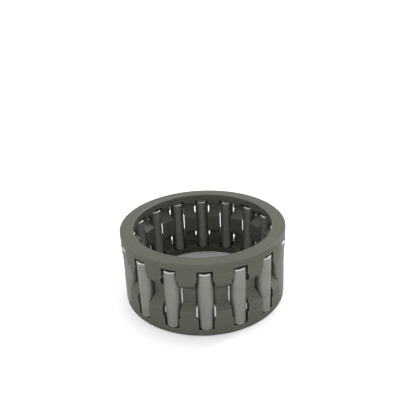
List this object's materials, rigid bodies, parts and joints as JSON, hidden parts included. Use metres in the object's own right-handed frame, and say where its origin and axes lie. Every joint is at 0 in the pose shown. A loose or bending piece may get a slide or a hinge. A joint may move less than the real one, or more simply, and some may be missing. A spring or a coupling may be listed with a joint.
{
  "type": "needle roller bearing",
  "caption": "Needle roller and cage assembly: a grooved one-piece steel cage whose pockets hold a ring of needle rollers that run directly on a shaft and in a housing.",
  "frame": {"origin": "centre of the cage's lower side face, on the bearing axis", "axes": "+Z along the bearing axis; -Y through the middle of roller_01; the rollers are numbered anticlockwise seen from +Z"},
  "size_m": [0.039, 0.039, 0.0175],
  "materials": {
    "cage_steel": "satin, dark olive-grey machined steel",
    "roller_steel": "finely ground bearing steel, satin, with smoother rounded ends"
  },
  "bodies": {
    "cage": {"cage": "cage_steel"},
    "roller_01": {"roller_01": "roller_steel"},
    "roller_02": {"roller_02": "roller_steel"},
    "roller_03": {"roller_03": "roller_steel"},
    "roller_04": {"roller_04": "roller_steel"},
    "roller_05": {"roller_05": "roller_steel"},
    "roller_06": {"roller_06": "roller_steel"},
    "roller_07": {"roller_07": "roller_steel"},
    "roller_08": {"roller_08": "roller_steel"},
    "roller_09": {"roller_09": "roller_steel"},
    "roller_10": {"roller_10": "roller_steel"},
    "roller_11": {"roller_11": "roller_steel"},
    "roller_12": {"roller_12": "roller_steel"},
    "roller_13": {"roller_13": "roller_steel"},
    "roller_14": {"roller_14": "roller_steel"},
    "roller_15": {"roller_15": "roller_steel"},
    "roller_16": {"roller_16": "roller_steel"}
  },
  "joints": [
    {"name": "roller_01_spin", "type": "hinge", "parent": "cage", "child": "roller_01", "pos_m": [0, -0.01775, 0.00853], "axis": [0, 0, 1], "continuous": true},
    {"name": "roller_02_spin", "type": "hinge", "parent": "cage", "child": "roller_02", "pos_m": [0.00679, -0.0164, 0.00853], "axis": [0, 0, 1], "continuous": true},
    {"name": "roller_03_spin", "type": "hinge", "parent": "cage", "child": "roller_03", "pos_m": [0.01255, -0.01255, 0.00853], "axis": [0, 0, 1], "continuous": true},
    {"name": "roller_04_spin", "type": "hinge", "parent": "cage", "child": "roller_04", "pos_m": [0.0164, -0.00679, 0.00853], "axis": [0, 0, 1], "continuous": true},
    {"name": "roller_05_spin", "type": "hinge", "parent": "cage", "child": "roller_05", "pos_m": [0.01775, 0, 0.00853], "axis": [0, 0, 1], "continuous": true},
    {"name": "roller_06_spin", "type": "hinge", "parent": "cage", "child": "roller_06", "pos_m": [0.0164, 0.00679, 0.00853], "axis": [0, 0, 1], "continuous": true},
    {"name": "roller_07_spin", "type": "hinge", "parent": "cage", "child": "roller_07", "pos_m": [0.01255, 0.01255, 0.00853], "axis": [0, 0, 1], "continuous": true},
    {"name": "roller_08_spin", "type": "hinge", "parent": "cage", "child": "roller_08", "pos_m": [0.00679, 0.0164, 0.00853], "axis": [0, 0, 1], "continuous": true},
    {"name": "roller_09_spin", "type": "hinge", "parent": "cage", "child": "roller_09", "pos_m": [0, 0.01775, 0.00853], "axis": [0, 0, 1], "continuous": true},
    {"name": "roller_10_spin", "type": "hinge", "parent": "cage", "child": "roller_10", "pos_m": [-0.00679, 0.0164, 0.00853], "axis": [0, 0, 1], "continuous": true},
    {"name": "roller_11_spin", "type": "hinge", "parent": "cage", "child": "roller_11", "pos_m": [-0.01255, 0.01255, 0.00853], "axis": [0, 0, 1], "continuous": true},
    {"name": "roller_12_spin", "type": "hinge", "parent": "cage", "child": "roller_12", "pos_m": [-0.0164, 0.00679, 0.00853], "axis": [0, 0, 1], "continuous": true},
    {"name": "roller_13_spin", "type": "hinge", "parent": "cage", "child": "roller_13", "pos_m": [-0.01775, 0, 0.00853], "axis": [0, 0, 1], "continuous": true},
    {"name": "roller_14_spin", "type": "hinge", "parent": "cage", "child": "roller_14", "pos_m": [-0.0164, -0.00679, 0.00853], "axis": [0, 0, 1], "continuous": true},
    {"name": "roller_15_spin", "type": "hinge", "parent": "cage", "child": "roller_15", "pos_m": [-0.01255, -0.01255, 0.00853], "axis": [0, 0, 1], "continuous": true},
    {"name": "roller_16_spin", "type": "hinge", "parent": "cage", "child": "roller_16", "pos_m": [-0.00679, -0.0164, 0.00853], "axis": [0, 0, 1], "continuous": true}
  ]
}
